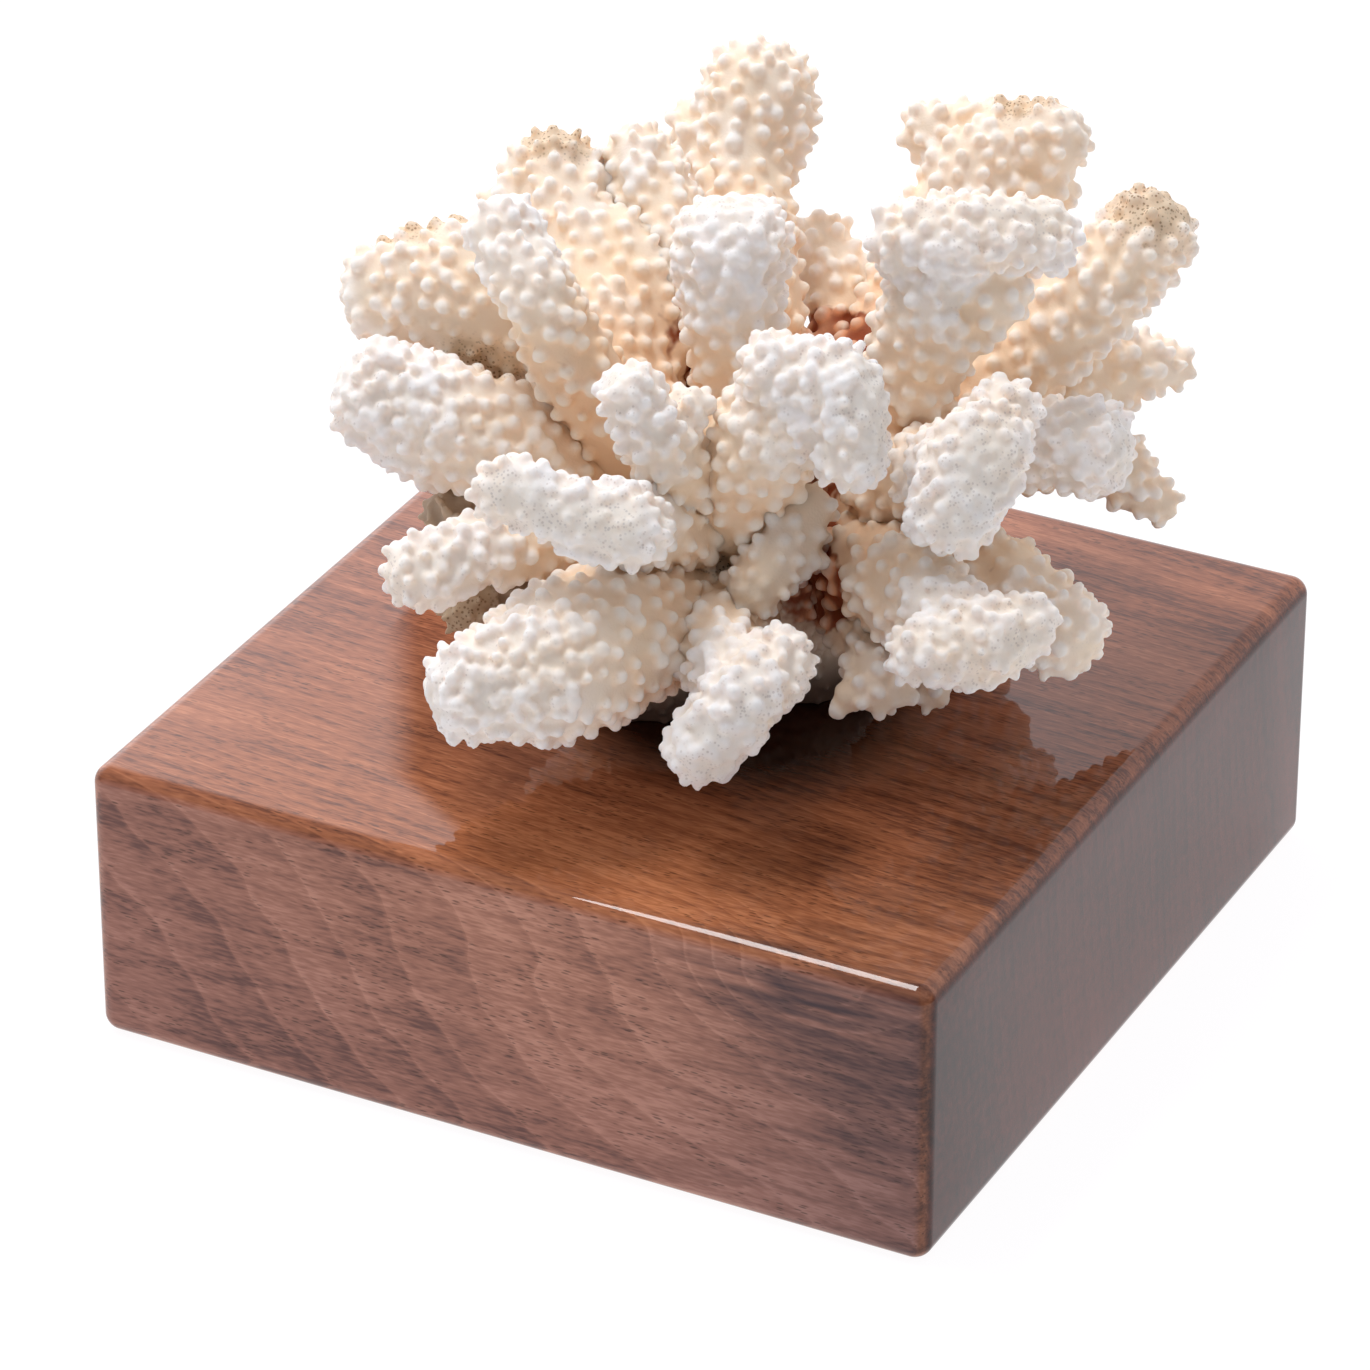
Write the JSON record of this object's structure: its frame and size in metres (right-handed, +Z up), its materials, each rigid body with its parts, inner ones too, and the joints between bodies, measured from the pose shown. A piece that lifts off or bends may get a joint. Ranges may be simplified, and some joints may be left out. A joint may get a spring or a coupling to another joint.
{
  "type": "branching coral on a wooden stand",
  "caption": "Knobbly white coral with stubby branches fanning from a rust-brown stem, standing on a square block of glossy walnut.",
  "frame": {"origin": "centre of the block's underside, on the surface it stands on", "axes": "+Z up; -Y is the face nearest the viewer's left in the picture and +X the face nearest the viewer's right"},
  "size_m": [0.1524, 0.1524, 0.1439],
  "materials": {
    "walnut": "walnut under a thick clear gloss lacquer",
    "coral": "matt knobbly skeleton, white at the tips and cream between the knobs",
    "stem": "matt rust-brown stem",
    "crust": "dead tan-brown crust, porous"
  },
  "bodies": {
    "root": {"walnut_block": "walnut", "root_stem": "stem", "crusted_stem": "crust", "tall_back": "coral", "left_tower": "coral", "slim_back": "coral", "left_blade": "coral", "left_broad": "coral", "left_arm": "coral", "left_low_finger": "coral", "front_left_ridge": "coral", "front_left_foot": "coral", "front_foot": "coral", "front_blade": "coral", "front_small": "coral", "round_head": "coral", "shade_blade": "coral", "behind_head": "coral", "back_right": "coral", "right_ridge": "coral", "right_top": "coral", "right_far": "coral", "right_near": "coral", "right_mid": "coral", "right_low_far": "coral", "right_foot": "coral", "right_low": "coral", "low_centre": "coral", "low_small": "coral", "rear_left_low": "coral", "rear_left_high": "coral", "rear_top": "coral", "rear_middle": "coral", "rear_right_high": "coral", "rear_right": "coral", "rear_right_low": "coral", "right_behind": "coral"}
  },
  "joints": []
}
